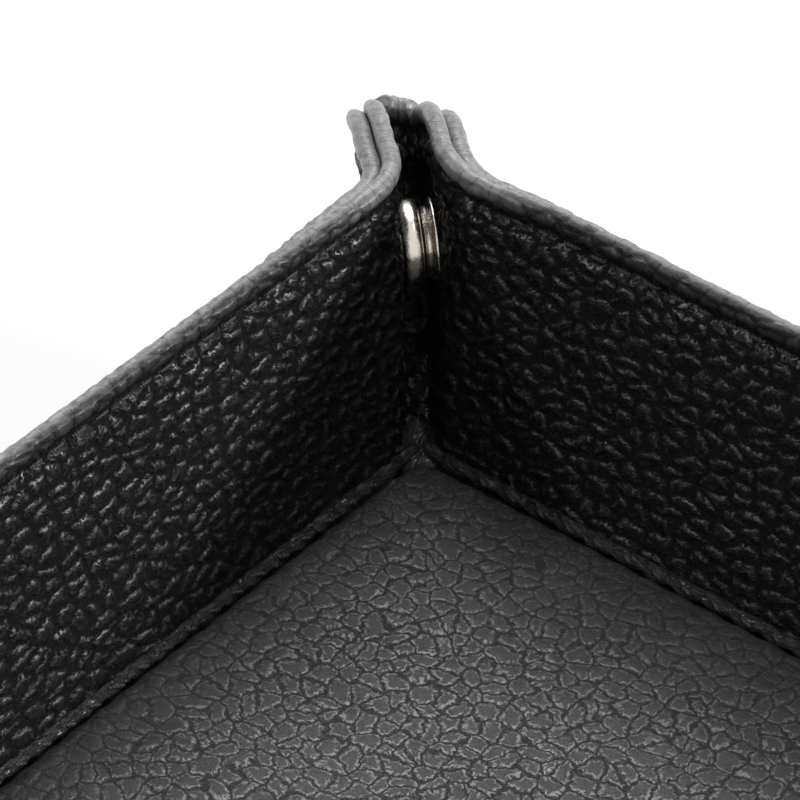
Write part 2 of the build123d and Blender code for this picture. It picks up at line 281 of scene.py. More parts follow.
def wall_point(beside_middle, above, height):
    """On a wall, from its distance beside the middle; below the crease it rolls under the base."""
    side = np.sign(beside_middle)
    rim_bend = np.where(side > 0, STUD_RIM_BEND, SOCKET_RIM_BEND)
    beside, up_wall = np.abs(beside_middle) - HALF_FLOOR, np.maximum(above, 0)
    level = bent_point(beside, up_wall, 0 * beside, rim_bend)[..., 2] - HINGE_HEIGHT
    apart = opening(beside, up_wall, level) * np.where(side > 0, STUD_OPEN, SOCKET_OPEN)
    point = bent_point(beside, up_wall, height, rim_bend) - apart[..., None] * CORNER_Z
    point[..., 1] *= np.where(side > 0, -1, 1)
    under = np.maximum(-above, 0)
    angle = -LEAN - np.clip(under / ROLL, 0, 1) * (pi / 2 - LEAN)
    rolled = np.stack(
        [
            HALF_FLOOR - height * np.cos(angle) - np.maximum(under - ROLL, 0),
            point[..., 1],
            HINGE_HEIGHT - height * np.sin(angle),
        ],
        axis=-1,
    )
    return np.where((above < 0)[..., None], rolled, point)


# Node helpers: the same nodes make the finish and the relief in the mesh


def feed(tree, made, inputs):
    """Link or set the inputs of a node."""
    for socket, value in dict(inputs).items():
        if isinstance(value, bpy.types.NodeSocket):
            tree.links.new(value, made.inputs[socket])
        else:
            made.inputs[socket].default_value = value


def node(tree, kind, inputs=(), **settings):
    made = tree.nodes.new(kind)
    for name, value in settings.items():
        setattr(made, name, value)
    feed(tree, made, inputs)
    return made


def sum_of(tree, operation, *values, clamp=False):
    made = node(tree, "ShaderNodeMath", enumerate(values), operation=operation)
    made.use_clamp = clamp
    return made.outputs[0]


def vector_of(tree, operation, one, two):
    second = "Scale" if operation == "SCALE" else 1
    return node(tree, "ShaderNodeVectorMath", {0: one, second: two}, operation=operation).outputs[0]


def eased(tree, value, low, high, start=0.0, end=1.0):
    inputs = {"Value": value, "From Min": low, "From Max": high, "To Min": start, "To Max": end}
    made = node(tree, "ShaderNodeMapRange", inputs, interpolation_type="SMOOTHSTEP")
    return made.outputs[0]


def noise(tree, at, scale, detail, roughness=0.5, dimensions="2D", **more):
    """Outputs of a noise: its value, then its colour."""
    inputs = {"Vector": at, "Scale": scale, "Detail": detail, "Roughness": roughness, **more}
    return node(tree, "ShaderNodeTexNoise", inputs, noise_dimensions=dimensions).outputs


def cell_distance(tree, at, scale=1.0, randomness=1.0, feature="DISTANCE_TO_EDGE"):
    inputs = {"Vector": at, "Scale": scale, "Randomness": randomness}
    made = node(tree, "ShaderNodeTexVoronoi", inputs, voronoi_dimensions="2D", feature=feature)
    return made.outputs["Distance"]


def pebble_nodes(tree, at, cell, warp, steep):
    """Pebbled grain: smooth flat domes with steep crumpled flanks and sunk grooves between."""
    scaled = vector_of(tree, "SCALE", at, sum_of(tree, "DIVIDE", 1.0, cell))
    moved = scaled
    for scale, roughness, reach in ((0.4, 0.55, warp), (2.4, 0.6, 0.45)):
        drift = noise(tree, scaled, scale, 2.0, roughness)[1]
        drift = vector_of(tree, "SUBTRACT", drift, (0.5, 0.5, 0.5))
        moved = vector_of(tree, "ADD", moved, vector_of(tree, "SCALE", drift, reach))
    edge = cell_distance(tree, moved, randomness=0.9)
    far = cell_distance(tree, moved, randomness=0.9, feature="F1")
    flank = eased(tree, edge, 0.0, steep)
    crown = sum_of(tree, "MULTIPLY_ADD", sum_of(tree, "MULTIPLY", far, far), -0.75, 1.0)
    split = eased(tree, cell_distance(tree, moved, 2.6), 0.0, 0.1, 0.84, 1.0)
    dome = sum_of(tree, "MULTIPLY", flank, sum_of(tree, "MULTIPLY", crown, split))
    fine = noise(tree, moved, 6.5, 2.5, 0.6)[0]
    loose = sum_of(tree, "MULTIPLY_ADD", flank, -0.85, 1.0)
    crumple = sum_of(tree, "MULTIPLY", sum_of(tree, "SUBTRACT", fine, 0.5), loose)
    height = sum_of(tree, "MULTIPLY_ADD", crumple, 0.5, dome)
    groove = eased(tree, edge, 0.0, sum_of(tree, "MULTIPLY", steep, 0.3), 1.0, 0.0)
    start, crest, end = (sum_of(tree, "MULTIPLY", steep, share) for share in (0.2, 0.55, 1.15))
    rise, fall = eased(tree, edge, start, crest), eased(tree, edge, crest, end, 1.0, 0.0)
    # The lip band round each pebble, where the finish paints glints.
    lip = sum_of(tree, "MULTIPLY", rise, fall)
    lip = sum_of(tree, "MULTIPLY", lip, eased(tree, fine, 0.44, 0.58))
    return sum_of(tree, "MULTIPLY_ADD", lip, 0.3, height), groove, lip


def group_tree(name, kind, inputs, outputs):
    tree = bpy.data.node_groups.new(name, kind)
    for way, sockets in (("INPUT", inputs), ("OUTPUT", outputs)):
        for label, (socket_kind, value) in sockets.items():
            made = tree.interface.new_socket(name=label, in_out=way, socket_type=socket_kind)
            if value is not None:
                made.default_value = value
    return tree, tree.nodes.new("NodeGroupInput"), tree.nodes.new("NodeGroupOutput")


def relief_tree(name, build):
    """A field that the mesh code can read at any points."""
    geometry = {"Geometry": ("NodeSocketGeometry", None)}
    tree, given, result = group_tree(name, "GeometryNodeTree", geometry, geometry)
    place = tree.nodes.new("GeometryNodeInputPosition")
    inputs = {"Geometry": given.outputs[0], "Name": "value"}
    store = node(tree, "GeometryNodeStoreNamedAttribute", inputs, data_type="FLOAT", domain="POINT")
    socket = [s for s in store.inputs if s.name == "Value" and s.enabled][0]
    tree.links.new(build(tree, place.outputs[0]), socket)
    tree.links.new(store.outputs[0], result.inputs[0])
    return tree


def read_relief(tree, places):
    """The field at an array of places, each with two or three numbers."""
    places = np.asarray(places, float)
    shape = places.shape[:-1]
    at = np.zeros((int(np.prod(shape)), 3), np.float32)
    at[:, : places.shape[-1]] = places.reshape(len(at), -1)
    mesh = bpy.data.meshes.new("places")
    mesh.vertices.add(len(at))
    mesh.vertices.foreach_set("co", at.ravel())
    holder = bpy.data.objects.new("places", mesh)
    bpy.context.scene.collection.objects.link(holder)
    holder.modifiers.new("field", "NODES").node_group = tree
    ready = holder.evaluated_get(bpy.context.evaluated_depsgraph_get()).data
    value = np.empty(len(at), np.float32)
    ready.attributes["value"].data.foreach_get("value", value)
    bpy.data.objects.remove(holder)
    bpy.data.meshes.remove(mesh)
    return value.reshape(shape).astype(float)


def grain_place(flat):
    """Where the grain is read: beyond the floor it is drawn out along the rim, all the way round."""
    reach = (np.abs(flat) ** 8).sum(-1) ** (1 / 8) + 1e-9
    over = np.maximum(reach - HALF_FLOOR, 0)
    return flat * ((reach + (GRAIN_STRETCH - 1) * over) / reach)[..., None]


def grain_relief(name, grain):
    return relief_tree(name, lambda tree, at: pebble_nodes(tree, at, *grain)[0])


wall_relief = grain_relief("wall relief", WALL_GRAIN)
floor_relief = grain_relief("floor relief", FLOOR_GRAIN)
swell_relief = relief_tree("swell", lambda tree, at: noise(tree, at, 1.0, 2.0, dimensions="3D")[0])


def swell(places, size, seed):
    """Slow rise and fall, from -1 to 1."""
    spread = np.concatenate([places / size, np.full(places.shape[:-1] + (1,), seed)], axis=-1)
    return (read_relief(swell_relief, spread) - 0.5) * 2


# Mesh


def link(name, mesh, material, smooth_faces=True):
    made = bpy.data.objects.new(name, mesh)
    bpy.context.scene.collection.objects.link(made)
    mesh.materials.append(material)
    if smooth_faces:
        mesh.polygons.foreach_set("use_smooth", [True] * len(mesh.polygons))
    return made


def new_mesh(name, bm):
    mesh = bpy.data.meshes.new(name)
    bm.to_mesh(mesh)
    bm.free()
    return mesh


def read_places(mesh):
    at = np.empty(len(mesh.vertices) * 3, np.float32)
    mesh.vertices.foreach_get("co", at)
    return at.reshape(-1, 3)


def write_places(mesh, places):
    """Move the vertices of a mesh to places in millimetres."""
    mesh.vertices.foreach_set("co", (places * MM).astype(np.float32).ravel())


def write_sheet(mesh, places):
    """The map that the grain follows: a place on the flat sheet for each vertex."""
    vertex = np.empty(len(mesh.loops), np.int32)
    mesh.loops.foreach_get("vertex_index", vertex)
    layer = mesh.uv_layers.new(name="Sheet")
    layer.data.foreach_set("uv", (places[vertex] * MM).astype(np.float32).ravel())


def grid_mesh(name, rows, columns):
    """A flat grid to be shaped, with the row and the column of each vertex."""
    bm = bmesh.new()
    bmesh.ops.create_grid(bm, x_segments=columns - 1, y_segments=rows - 1, size=1)
    mesh = new_mesh(name, bm)
    at = read_places(mesh)
    column = np.rint((at[:, 0] + 1) / 2 * (columns - 1)).astype(int)
    row = np.rint((at[:, 1] + 1) / 2 * (rows - 1)).astype(int)
    return mesh, row, column


def edit_smooth(mesh):
    """A shaped grid as an editable mesh with smooth faces."""
    bm = bmesh.new()
    bm.from_mesh(mesh)
    for face in bm.faces:
        face.smooth = True
    return bm


def skin(name, points, flat, bead, material, rim=None):
    """A closed skin from a grid: its rows go right round the section, its columns along it."""
    rows, columns = points.shape[:2]
    mesh, row, column = grid_mesh(name, rows + 1, columns)
    row %= rows
    write_places(mesh, points[row, column])
    write_sheet(mesh, grain_place(flat[row, column]))
    mask = mesh.attributes.new("bead", "FLOAT", "POINT")
    mask.data.foreach_set("value", bead[row, column].astype(np.float32))
    if rim is not None:
        along_rim = mesh.attributes.new("rim", "FLOAT_VECTOR", "POINT")
        along_rim.data.foreach_set("vector", rim[row, column].astype(np.float32).ravel())
    bm = edit_smooth(mesh)
    edge_verts = [v for v in bm.verts if v.is_boundary]
    bmesh.ops.remove_doubles(bm, verts=edge_verts, dist=1e-7)
    caps = bmesh.ops.holes_fill(bm, edges=[e for e in bm.edges if e.is_boundary], sides=0)
    for face in caps["faces"]:
        for edge in face.edges:
            edge.smooth = False
    bmesh.ops.recalc_face_normals(bm, faces=bm.faces)
    bm.to_mesh(mesh)
    bm.free()
    return link(name, mesh, material, smooth_faces=False)


def section_rows(foot, step):
    """Depth below the rim, kind and turn of each row that goes round the section of a skin.

    The kinds are 0 up the face, 1 over the bead, 2 under the hem and 3 down the hidden back.
    """
    face = np.arange(foot, BEAD + step / 2, -step)
    turn = np.linspace(pi / 2, -pi / 2, 13)
    back = [HEM_DEPTH, 0.5 * (HEM_DEPTH + min(foot, BORDER))]
    if foot > BORDER:
        back += [*np.linspace(BORDER, BORDER + ROLL, 7)]
    back.append(foot)
    depths = [*face, *(BEAD - BEAD * np.cos(turn)), HEM_DEPTH, *back]
    kinds = [0] * len(face) + [1] * len(turn) + [2] + [3] * len(back)
    turns = [pi / 2] * len(face) + list(turn) + [-pi / 2] * (1 + len(back))
    return np.array(depths), np.array(kinds), np.array(turns)


def leather_height(depth, kind, turn, past, relief, slow, notch, bead_wave):
    """Height of the leather above the middle of the wall or leaf, before its side is chosen."""
    on_leaf = smooth(past, -BEND_RUN, BEND_RUN + 2)
    face = HEM_HALF - (HEM_HALF - LEATHER) * on_leaf * smooth(depth, HEM_DEPTH - 1, HEM_DEPTH + 1)
    crest = 2 * (BEAD * BEAD_PUFF + bead_wave)
    band = (crest - HEM_HALF) * (1 - smooth(depth, BAND_START, BAND_END))
    groove = GROOVE * hump(depth, GROOVE_DEPTH, GROOVE_WIDTH) + notch
    fade = smooth(depth, 0.0, 9.0)
    face = face + band - groove + relief + slow * fade
    bead = crest / 2 * (1 + np.sin(turn)) + relief * np.maximum(np.sin(turn), 0)
    back = LAYER_GAP + BOARD_HALF * (1 - smooth(past, -BEND_RUN - 1, BEND_RUN))
    height = np.where(kind == 0, face, bead)
    height = np.where(kind == 2, LAYER_GAP, height)
    return np.where(kind == 3, back, height)


def seam_notch(along, depth):
    """Dents where the stitches go down into the leather, with the pull they leave beside them."""
    return NOTCH * stitch_beat(along, STITCH_PITCH) ** 2 * hump(depth, SEAM_DEPTH, NOTCH_WIDTH)


def bead_waves(flat, side):
    """Slow swelling of a turned edge along its run."""
    return BEAD_WAVE * swell(flat, 3.0, 17.0 + side)


def flat_place(beside, above, quarter):
    """Place on the whole unfolded sheet."""
    sheet = np.stack([HALF_FLOOR + above, -(HALF_FLOOR + beside)], axis=-1)
    return quarter_turn(sheet, quarter)


def wall_skin(quarter, side, step, material):
    """Lining (side 1) or outer leather (side -1) of a wall, from its crease to its rim."""
    foot = BORDER - 0.4 if side > 0 else BORDER + ROLL + ROLL_UNDER
    depth, kind, turn = section_rows(foot, step)
    above = BORDER - depth[:, None]
    kind, turn, depth = kind[:, None], turn[:, None], depth[:, None]
    lift = np.maximum(above, 0) * tan(SPREAD)
    start = -(HALF_FLOOR - BEND_FOOT + lift - BEND_RUN / cos(SPREAD))
    end = HALF_FLOOR - BEND_FOOT + lift
    columns = int((end - start).max() / step)
    share = np.linspace(0, 1, columns + 1)[None, :]
    middle = start + (end - start) * share
    above = above + 0 * middle
    beside = np.abs(middle) - HALF_FLOOR
    past = past_bend(beside, above)
    from_corner = HALF_FLOOR - np.abs(middle)
    above = above + rim_shift(side, quarter, from_corner) * shift_fade(depth)
    over = over_bead(depth, kind, turn)
    flat = quarter_turn(np.stack([HALF_FLOOR + above + over, middle], axis=-1), quarter)
    off_corner = smooth(from_corner, 3.0, 16.0)
    relief, slow = relief_at(flat, side, depth, 0.25 + 0.4 * off_corner)
    still = 1 - smooth(depth, BORDER - 3, BORDER + 1)
    relief, slow = relief * still, slow * still
    notch = seam_notch(middle, depth)
    bead_wave = bead_waves(flat, side)
    height = leather_height(depth, kind, turn, past, relief, slow, notch, bead_wave)
    if side > 0:
        pucker = CREASE_PUCKER * stitch_beat(middle, CREASE_PITCH)
        height = height - np.where(kind == 0, pucker * np.exp(-np.maximum(above, 0) / 2.0), 0)
    above = above + np.where(kind == 1, (relief + bead_wave) * np.cos(turn), 0)
    points = quarter_turn(wall_point(middle, above, side * height), quarter)
    # On the linings, away from the corners, the bead mask is cut on the inward half of the turned edge and
    # the band below it, so its painted sheen lies on the top of the edge and is brightest on the ears.
    inner_side = np.where(kind == 1, smooth(turn, -0.3, 1.1), 1.0 * (kind == 0)) if side > 0 else 0.0
    bead = bead_mask(depth, kind) * (1 - 0.8 * inner_side * off_corner)
    name = "lining" if side > 0 else "cover"
    rim = np.stack([middle, over - depth + 0 * middle, 0 * middle], axis=-1)
    return skin(f"{WALLS[quarter]}_wall_{name}", points, flat, bead, material, rim)


def relief_at(flat, side, depth, edge_share=0.25):
    """Pebbles and slow waves of the leather at places of the flat sheet."""
    pebbles = read_relief(wall_relief, grain_place(flat)) - 0.6
    calm = edge_share + (1 - edge_share) * smooth(depth, 2.0, 5.0)
    slow = 0.3 * swell(flat, 16.0, 3.0 + side) + 0.12 * swell(flat, 5.0, 7.0 + side)
    puckers = 0.3 * swell(flat, 1.3, 27.0 + side) * hump(depth, 2.2, 0.9)
    return RELIEF * calm * pebbles + puckers, slow


def bead_mask(depth, kind):
    """1 on the turned edge and behind it, 0 on the open face."""
    return np.where(kind == 0, 1 - smooth(depth, 1.6, 3.2), 1.0)


def drawn_out(depths, deep):
    """Depths with those below the hem spread so that the last one lies at deep."""
    share = np.clip((depths - HEM_DEPTH) / (depths.max() - HEM_DEPTH), 0, 1)
    return np.where(depths > HEM_DEPTH, HEM_DEPTH + share * (deep - HEM_DEPTH), depths)


def leaf_fan(start_past, depths, columns):
    """Places on a leaf of an ear, in columns that fan out from its foot to its rounded rim."""
    rise = start_past + (sqrt(2) * HALF_ARC - BEND_FOOT) * cos(SPREAD)
    foot_above = rise / (cos(SPREAD) - sin(SPREAD))
    foot = np.array([foot_above - sqrt(2) * HALF_ARC, foot_above])
    rim_start = (start_past + BORDER * sin(SPREAD)) / cos(SPREAD) - BEND_FOOT
    straight = EAR_BESIDE - rim_start
    run = np.linspace(0, straight + EAR_RADIUS * pi / 4, columns + 1)
    angle = np.maximum(run - straight, 0) / EAR_RADIUS
    rim = np.stack(
        [
            rim_start + np.minimum(run, straight) + EAR_RADIUS * np.sin(angle),
            EAR_ABOVE + EAR_RADIUS * np.cos(angle),
        ],
        axis=-1,
    )
    outward = np.stack([np.sin(angle), np.cos(angle)], axis=-1)
    reach = rim - foot
    length = np.linalg.norm(reach, axis=-1)
    away = reach / length[:, None]
    slant = (away * outward).sum(-1)
    depth = drawn_out(depths[:, None], length * slant * 0.97)
    place = rim - away * (depth / slant)[..., None]
    return place[..., 0], place[..., 1], depth, run, outward + 0 * place


def ear_skins(quarter, side, step, material):
    """The three pieces of one layer of an ear: socket leaf with its bend, fold, stud leaf."""
    depths, kind, turn = section_rows(BORDER, step)
    kind, turn = kind[:, None], turn[:, None]
    corner = CORNERS[quarter]
    layer = "lining" if side > 0 else "cover"
    made = []
    for part, start_past in (("socket_leaf", -BEND_RUN), ("stud_leaf", 0.0)):
        beside, above, depth, run, outward = leaf_fan(start_past, depths, int(LEAF_RUN / step))
        past = past_bend(beside, above)
        if part == "stud_leaf":
            beside, above, outward = above, beside, outward[..., ::-1]
        shift = ear_shift(side, run, float(part == "stud_leaf"))
        made.append((part, beside, above, depth, past, run, shift, outward))
    run = np.linspace(0, 2 * HALF_ARC, int(FOLD_WIDTH / step) + 1)
    tip = np.array([EAR_BESIDE, EAR_ABOVE]) + EAR_RADIUS / sqrt(2)
    fold_depth = drawn_out(depths, FOLD_LENGTH)[:, None] + 0 * run
    beside = tip[0] + (run - fold_depth) / sqrt(2)
    above = tip[1] - (run + fold_depth) / sqrt(2)
    diagonal = np.full(beside.shape + (2,), 1 / sqrt(2))
    top_shift = ear_shift(side, np.array(LEAF_RUN), smooth(run, 0.0, 2 * HALF_ARC))
    past = np.full(beside.shape, 30.0)
    made.append(("fold", beside, above, fold_depth, past, run + LEAF_RUN, top_shift, diagonal))
    pieces = {}
    for part, beside, above, depth, past, run, shift, outward in made:
        raised = shift * shift_fade(depth)
        beside, above = beside + raised * outward[..., 0], above + raised * outward[..., 1]
        over = over_bead(depth, kind, turn)
        flat = flat_place(beside + over * outward[..., 0], above + over * outward[..., 1], quarter)
        relief, slow = relief_at(flat, side, depth)
        gather = ear_gather(beside, above, depth, side)
        notch = seam_notch(run + 0 * depth, depth)
        bead_wave = bead_waves(flat, side)
        bead = bead_mask(depth, kind) + 0 * beside
        if part == "fold":
            inside = np.sin(pi * (run - LEAF_RUN) / (2 * HALF_ARC)) + 0 * beside
            places = np.stack([run / 1.2 + 0 * beside, depth / 7 + 0 * beside], axis=-1)
            puckers = inside * swell(places, 1.0, 51.0 + side) * (1 - smooth(depth, 6.0, 16.0))
            relief = relief + 0.25 * puckers
            slow, gather = slow * (1 - inside), gather * (1 - inside)
        height = leather_height(depth, kind, turn, past, relief, slow * 0.5 + gather, notch, bead_wave)
        swelling = np.where(kind == 1, (relief + bead_wave) * np.cos(turn), 0)
        beside, above = beside + swelling * outward[..., 0], above + swelling * outward[..., 1]
        points = quarter_turn(ear_point(beside, above, side * height), quarter)
        rim = np.stack([run + 0 * beside, over - depth + 0 * beside, 0 * beside], axis=-1)
        pieces[part] = skin(f"{corner}_{part}_{layer}", points, flat, bead, material, rim)
    return pieces


def ear_gather(beside, above, depth, side):
    """Soft folds that fan out from the foot of the ear, where the leather is pinched."""
    angle = np.arctan2(above, beside + 12)
    far = np.hypot(beside + 12, above)
    places = np.stack([angle * 9, far / 22], axis=-1)
    return 0.35 * swell(places, 1.0, 11.0 + side) * smooth(depth, 2.0, 10.0)


# Floor of the tray


def floor_pad(material):
    """The padded floor: crowned, rounded over at its edge and puckered by the crease seam."""
    inner = PAD_HALF - PAD_ROUND
    flat_run = np.linspace(0, inner, int(inner / PAD_STEP) + 1)
    turn = np.linspace(0, pi / 2, 9)[1:]
    half = np.concatenate([flat_run, inner + PAD_ROUND * np.sin(turn)])
    line = np.concatenate([-half[:0:-1], half])
    grid_x, grid_y = np.meshgrid(line, line)
    edge_x = np.clip((np.abs(grid_x) - inner) / PAD_ROUND, 0, 1)
    edge_y = np.clip((np.abs(grid_y) - inner) / PAD_ROUND, 0, 1)
    disc_x = edge_x * np.sqrt(1 - edge_y**2 / 2)
    disc_y = edge_y * np.sqrt(1 - edge_x**2 / 2)
    x = np.where(edge_x > 0, np.sign(grid_x) * (inner + PAD_ROUND * disc_x), grid_x)
    y = np.where(edge_y > 0, np.sign(grid_y) * (inner + PAD_ROUND * disc_y), grid_y)
    drop = PAD_ROUND * 0.75 * (1 - np.sqrt(np.clip(1 - disc_x**2 - disc_y**2, 0, 1)))
    corner_reach = HALF_FLOOR * sqrt(2)
    crown = PAD_CROWN * (x**2 + y**2) / corner_reach**2
    gap_x, gap_y = PAD_HALF - np.abs(x), PAD_HALF - np.abs(y)
    flat = np.stack([x, y], axis=-1)
    pull_x = stitch_beat(y, CREASE_PITCH) * np.exp(-gap_x / 2.6)
    pull_y = stitch_beat(x, CREASE_PITCH) * np.exp(-gap_y / 2.6)
    soft = 0.55 * (np.exp(-gap_x / 6.0) + np.exp(-gap_y / 6.0))
    pebbles = FLOOR_RELIEF * (read_relief(floor_relief, flat) - 0.7)
    waves = 0.22 * swell(flat, 21.0, 1.0) + 0.1 * swell(flat, 6.0, 2.0)
    edge = np.clip(np.maximum(edge_x, edge_y), 0, 1)
    z = PAD_TOP - 0.25 - crown - drop - soft - 0.4 * (pull_x + pull_y)
    z = z + (pebbles + waves) * (1 - 0.6 * edge)
    mesh, row, column = grid_mesh("floor_pad", len(line), len(line))
    points = np.stack([x, y, z], axis=-1)[row, column]
    write_places(mesh, points)
    write_sheet(mesh, points[:, :2])
    bm = edit_smooth(mesh)
    for scale, level in ((1.0, 1.25), (1 - 0.55 / PAD_HALF, 1.25), (1.0, 3.3)):
        bmesh.ops.extrude_edge_only(bm, edges=[e for e in bm.edges if e.is_boundary])
        for vert in {v for e in bm.edges if e.is_boundary for v in e.verts}:
            vert.co = (vert.co.x * scale, vert.co.y * scale, level * MM)
    bmesh.ops.holes_fill(bm, edges=[e for e in bm.edges if e.is_boundary], sides=0)
    bmesh.ops.recalc_face_normals(bm, faces=bm.faces)
    bm.to_mesh(mesh)
    bm.free()
    return link("floor_pad", mesh, material, smooth_faces=False)


def crease_ridge(quarter, material):
    """The gathered welt along a crease: a wrinkled cord of leather, nipped by every stitch."""
    along = np.linspace(-PAD_HALF, PAD_HALF, 640)[None, :]
    turn = np.linspace(-pi / 2, 1.5 * pi, 22, endpoint=False)[:, None]
    nip = np.abs(np.cos(pi * along / CREASE_PITCH)) ** 0.7
    places = np.stack([along / 0.7 + turn * 0.75, 0 * along + turn * 0.9], axis=-1)
    strands = np.cos(3 * turn + 2 * pi * along / CREASE_PITCH)
    wrinkle = swell(places, 1.0, 21.0 + quarter) + 0.55 * strands
    drift = np.stack([along / 6 + 0 * turn, 0 * turn + 0 * along + 5], axis=-1)
    wander = swell(drift, 1.0, 31.0 + quarter)
    radius = RIDGE_RADIUS * (0.66 + 0.38 * nip) + 0.24 * wrinkle
    x = RIDGE_X + radius * np.cos(turn) + 0.28 * wander
    z = RIDGE_Z + 1.15 * radius * np.sin(turn) + 0.25 * wander
    points = quarter_turn(np.stack([x, along + 0 * turn, z], axis=-1), quarter)
    flat = np.stack([turn + 0 * along, along + 0 * turn], axis=-1)
    return skin(f"{WALLS[quarter]}_crease_ridge", points, flat, np.ones(x.shape), material)


def corner_tuck(quarter, material):
    """The gathered leather at the foot of an ear, where floor and both walls run together."""
    bm = bmesh.new()
    bmesh.ops.create_uvsphere(bm, u_segments=40, v_segments=24, radius=1)
    mesh = new_mesh(f"{CORNERS[quarter]}_corner_tuck", bm)
    ball = read_places(mesh).astype(float)
    round_it = np.arctan2(ball[:, 1], ball[:, 0])
    gathers = 0.5 * np.cos(9 * round_it) * (1 - ball[:, 2] ** 2)
    uneven = swell(ball[:, :2] * 2.2 + ball[:, 2:] * 1.3, 1.0, 41.0 + quarter)
    crumpled = swell(ball[:, :2] * 6 + ball[:, 2:] * 4, 1.0, 61.0 + quarter)
    grown = 1 + 0.09 * gathers + 0.12 * uneven + 0.14 * crumpled
    local = ball * grown[:, None] * np.array(TUCK_SIZE) + np.array(TUCK_PLACE)
    # a peak between the feet of the leaves closes the end of the fold when the tray lies flat
    peak = hump(local[:, 0], -0.1, 1.9) * hump(local[:, 1], 0.0, 2.3)
    local[:, 2] += TUCK_PEAK * peak * smooth(ball[:, 2], 0.0, 0.5)
    points = CORNER + local[:, :1] * CORNER_X + local[:, 1:2] * CORNER_Z + local[:, 2:] * CORNER_Y
    points = quarter_turn(points, quarter)
    write_places(mesh, points)
    write_sheet(mesh, points[:, :2])
    return link(mesh.name, mesh, material)


def underside(material):
    """The sheet that the tray rests on, between the rolls of its four creases."""
    bm = bmesh.new()
    half = HALF_FLOOR - 0.3
    bmesh.ops.create_grid(bm, x_segments=90, y_segments=90, size=half * MM)
    geometry = bmesh.ops.extrude_face_region(bm, geom=list(bm.faces))["geom"]
    lifted = [g for g in geometry if isinstance(g, bmesh.types.BMVert)]
    bmesh.ops.translate(bm, verts=lifted, vec=(0, 0, 0.9 * MM))
    bmesh.ops.translate(bm, verts=bm.verts, vec=(0, 0, 0.2 * MM))
    upright = [
        e for e in bm.edges
        if all(abs(abs(place) - half * MM) < 1e-6 for place in e.verts[0].co.xy)
        and abs(e.verts[0].co.z - e.verts[1].co.z) > 1e-6
    ]
    bmesh.ops.bevel(
        bm, geom=upright, offset=0.45 * MM, segments=3, profile=0.5, affect="EDGES", material=-1
    )
    bmesh.ops.recalc_face_normals(bm, faces=bm.faces)
    mesh = new_mesh("underside", bm)
    layer = mesh.uv_layers.new(name="Sheet")
    for loop in mesh.loops:
        place = mesh.vertices[loop.vertex_index].co
        layer.data[loop.index].uv = (place.x, place.y)
    return link("underside", mesh, material)


# Stitches


def stitch_set(name, places, length, material):
    """Separate stitches, each a twisted thread that goes down at both ends.

    places gives for each stitch its middle, its direction and the way up, in millimetres.
    """
    bm = bmesh.new()
    for middle, way, up in places:
        way, up = Vector(way).normalized(), Vector(up).normalized()
        across = up.cross(way).normalized()
        up = way.cross(across).normalized()
        grown = bmesh.ops.create_uvsphere(bm, u_segments=8, v_segments=7, radius=1)["verts"]
        for vert in grown:
            t = vert.co.z
            round_off = sqrt(max(1 - abs(t) ** 3, 0)) / max(sqrt(max(1 - t * t, 1e-6)), 1e-3)
            strand = 1 + 0.12 * cos(2 * atan2(vert.co.y, vert.co.x) + 5 * t)
            side = vert.co.x * 0.36 * min(round_off, 1.6) * strand
            lift = vert.co.y * 0.32 * min(round_off, 1.6) * strand - 0.42 * t**4
            vert.co = (Vector(middle) + way * (t * length / 2) + across * side + up * lift) * MM
    bmesh.ops.recalc_face_normals(bm, faces=bm.faces)
    return link(name, new_mesh(name, bm), material)


def wall_stitches(quarter, side, material):
    """Seam along the rim of a wall, a little sunk into the leather."""
    count = int(2 * (HALF_FLOOR - BEND_FOOT - 2.0) // STITCH_PITCH)
    first = -(count - 1) * STITCH_PITCH / 2
    height = np.array(side * (HEM_HALF - STITCH_SINK))

    def point(middle):
        above = np.array(BORDER - SEAM_DEPTH) + rim_shift(side, quarter, HALF_FLOOR - np.abs(middle))
        return wall_point(np.array(middle), above, height).reshape(3)

    places = []
    for index in range(count):
        middle = first + index * STITCH_PITCH
        way = point(middle + 0.4) - point(middle - 0.4)
        places.append([quarter_turn(v, quarter) for v in (point(middle), way, side * WALL_Z)])
    name = "seam" if side > 0 else "outer_seam"
    return stitch_set(f"{WALLS[quarter]}_rim_{name}", places, RIM_STITCH, material)


def ear_stitches(quarter, side, material):
    """Seam round the rim of both leaves, split between the two bodies that carry them."""
    sets = {}
    radius = EAR_RADIUS - SEAM_DEPTH
    start = 4.6
    straight = EAR_BESIDE - start
    total = straight + radius * pi / 4
    count = int(total // STITCH_PITCH)
    for part in ("socket_leaf", "stud_leaf"):
        places = []
        for index in range(count + 1):
            run = total - 1.2 - index * STITCH_PITCH
            spots = []
            for at in (run - 0.4, run, run + 0.4):
                angle = max(at - straight, 0) / radius
                beside = start + min(at, straight) + radius * sin(angle)
                above = EAR_ABOVE + radius * cos(angle)
                shift = float(ear_shift(side, np.array(at), float(part == "stud_leaf")))
                spots.append((beside + shift * sin(angle), above + shift * cos(angle)))
            if part == "stud_leaf":
                spots = [(b, a) for a, b in spots]
            level = side * (HEM_HALF - STITCH_SINK)
            spots = np.array(spots)
            ends = [ear_point(*spot, np.array(level)) for spot in spots]
            up = ear_point(*spots[1], np.array(level + side * 0.3)) - ends[1]
            places.append([quarter_turn(v, quarter) for v in (ends[1], ends[2] - ends[0], up)])
        name = "seam" if side > 0 else "outer_seam"
        sets[part] = stitch_set(f"{CORNERS[quarter]}_{part}_{name}", places, RIM_STITCH, material)
    return sets


